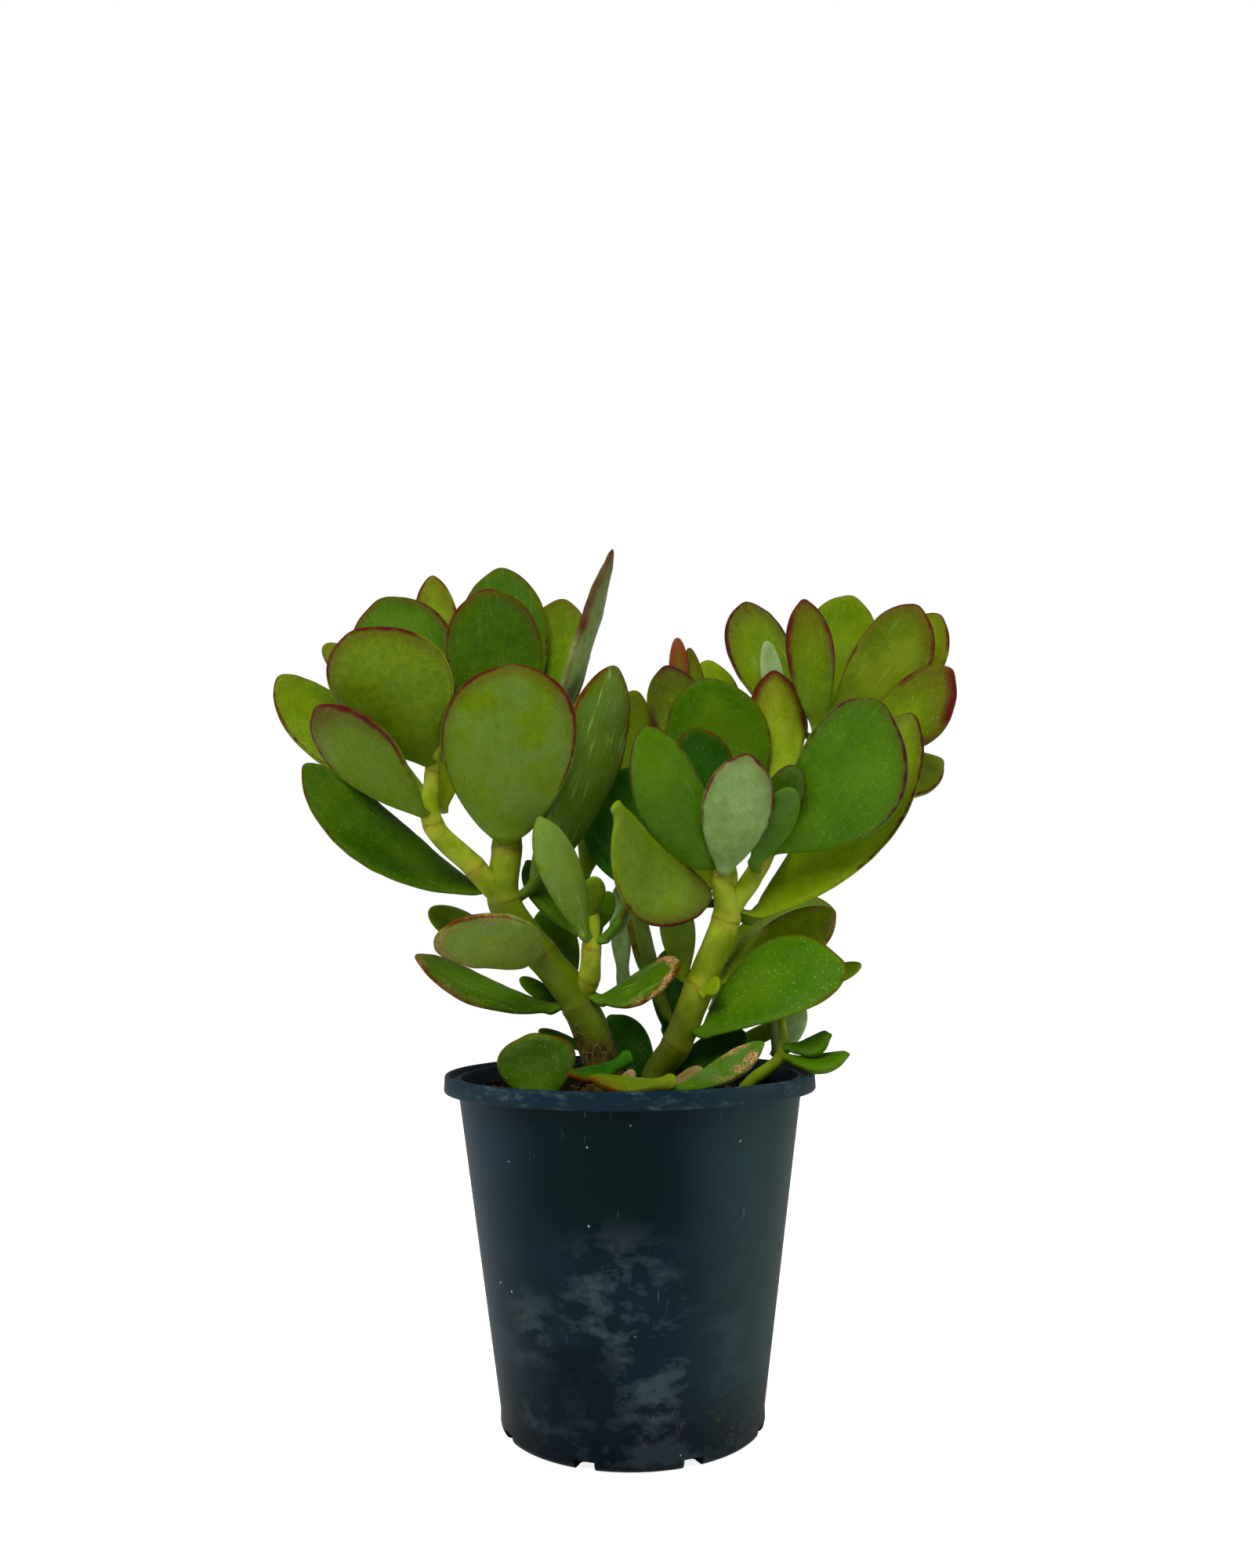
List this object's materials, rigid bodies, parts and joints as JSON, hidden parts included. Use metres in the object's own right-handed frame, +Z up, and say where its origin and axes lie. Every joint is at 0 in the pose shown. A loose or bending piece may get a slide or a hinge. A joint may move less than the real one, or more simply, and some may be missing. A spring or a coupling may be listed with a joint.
{
  "type": "potted jade plant",
  "caption": "Succulent house plant with forked fleshy stems and thick oval red-edged leaves, growing in a tapered round plastic nursery pot of bark mix.",
  "frame": {"origin": "centre of the flat base of the pot, where it meets the surface it stands on", "axes": "+Z up along the pot's axis, -Y towards the plant's front, +X to the right seen from the front"},
  "size_m": [0.2768, 0.14, 0.3319],
  "materials": {
    "pot_plastic": "satin",
    "bark_mix": "matte",
    "woody_stem": "matte",
    "green_stem": "satin",
    "leaf_skin": "satin"
  },
  "bodies": {
    "root": {"left_crown_back_leaf": "leaf_skin", "left_crown_blade_leaf": "leaf_skin", "left_crown_front_leaf": "leaf_skin", "left_crown_inner_leaf": "leaf_skin", "left_crown_low_right_leaf": "leaf_skin", "left_crown_right_leaf": "leaf_skin", "left_crown_small_leaf": "leaf_skin", "left_flat_leaf": "leaf_skin", "left_low_spread_leaf": "leaf_skin", "left_lowest_leaf": "leaf_skin", "left_node_back_leaf": "leaf_skin", "left_node_right_leaf": "leaf_skin", "left_outer_back_leaf": "leaf_skin", "left_outer_branch": "green_stem", "left_outer_far_leaf": "leaf_skin", "left_outer_front_leaf": "leaf_skin", "left_outer_tip_leaf": "leaf_skin", "left_side_shoot": "green_stem", "left_trunk": "woody_stem", "pot": "pot_plastic", "potting_mix": "bark_mix", "right_back_branch": "green_stem", "right_back_green_leaf": "leaf_skin", "right_back_purple_leaf": "leaf_skin", "right_back_yellow_leaf": "leaf_skin", "right_big_front_leaf": "leaf_skin", "right_crown_back_leaf": "leaf_skin", "right_crown_far_leaf": "leaf_skin", "right_crown_left_leaf": "leaf_skin", "right_crown_low_leaf": "leaf_skin", "right_crown_outer_leaf": "leaf_skin", "right_crown_right_leaf": "leaf_skin", "right_crown_tall_leaf": "leaf_skin", "right_fork_leaf": "leaf_skin", "right_front_broad_leaf": "leaf_skin", "right_front_inner_leaf": "leaf_skin", "right_front_left_leaf": "leaf_skin", "right_front_pale_leaf": "leaf_skin", "right_long_leaf": "leaf_skin", "right_low_dark_leaf": "leaf_skin", "right_outer_branch": "green_stem", "right_round_back_leaf": "leaf_skin", "right_scarred_leaf": "leaf_skin", "right_spotted_leaf": "leaf_skin", "right_trunk": "green_stem", "right_twisted_leaf": "leaf_skin", "right_under_leaf": "leaf_skin", "right_upright_leaf": "leaf_skin", "seedling_low_leaf": "leaf_skin", "seedling_right_leaf": "leaf_skin", "seedling_stem": "green_stem", "shoot_front_leaf": "leaf_skin", "shoot_left_leaf": "leaf_skin", "shoot_right_leaf": "leaf_skin", "shoot_tall_back_leaf": "leaf_skin", "soil_front_leaf": "leaf_skin", "soil_left_leaf": "leaf_skin", "soil_long_leaf": "leaf_skin", "soil_rear_leaf": "leaf_skin", "soil_round_leaf": "leaf_skin"}
  },
  "joints": []
}
